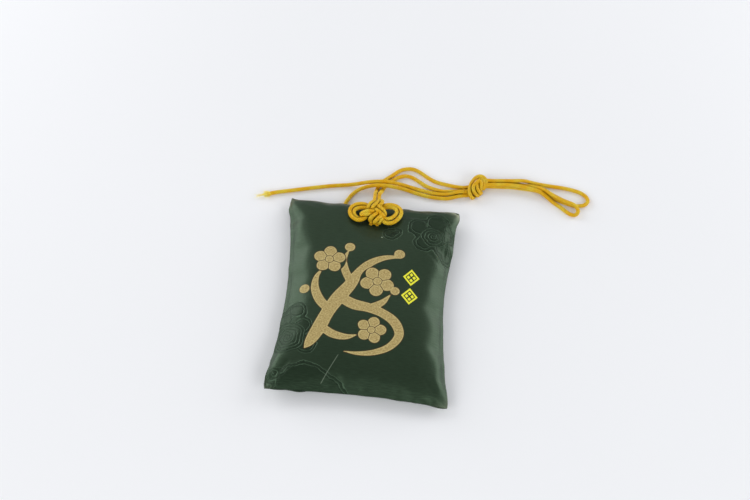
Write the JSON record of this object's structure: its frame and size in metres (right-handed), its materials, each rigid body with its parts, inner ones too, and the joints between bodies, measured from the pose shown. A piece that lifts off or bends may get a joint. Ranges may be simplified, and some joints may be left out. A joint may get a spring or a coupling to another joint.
{
  "type": "omamori charm",
  "caption": "Padded brocade charm pouch lying on its back, closed by a knotted braided cord that is tied into a hanging loop, with a wooden tablet in a paper wrapper held inside.",
  "frame": {"origin": "middle of the pouch's flat underside, on the surface that it lies on", "axes": "+X to the right across the pouch, +Y towards its mouth, +Z out of its front face"},
  "size_m": [0.142, 0.1151, 0.0126],
  "materials": {
    "brocade": "woven satin",
    "wadding": "loose fibre",
    "lining": "thin plain weave",
    "card": "uncoated",
    "tablet_wood": "planed, bare",
    "wrapper_paper": "uncoated",
    "seam_thread": "twisted thread",
    "cord": "braided, soft sheen"
  },
  "bodies": {
    "pouch": {"front_panel": "brocade", "back_panel": "brocade", "front_wadding": "wadding", "back_wadding": "wadding", "front_lining": "lining", "back_lining": "lining", "stiffener_card": "card", "seam_thread_left": "seam_thread", "seam_thread_right": "seam_thread", "seam_thread_bottom": "seam_thread", "cord_bridge": "cord", "front_knot": "cord", "tie_knot": "cord", "tail_fray": "cord", "riser_left": "cord", "riser_right": "cord", "tail_long": "cord", "tail_short": "cord", "loop_large": "cord", "loop_small": "cord"},
    "amulet": {"amulet_tablet": "tablet_wood", "amulet_wrapper": "wrapper_paper"}
  },
  "joints": [
    {"name": "amulet_slide", "type": "slide", "parent": "pouch", "child": "amulet", "axis": [0, 1, 0], "range_m": [0, 0.004]}
  ]
}
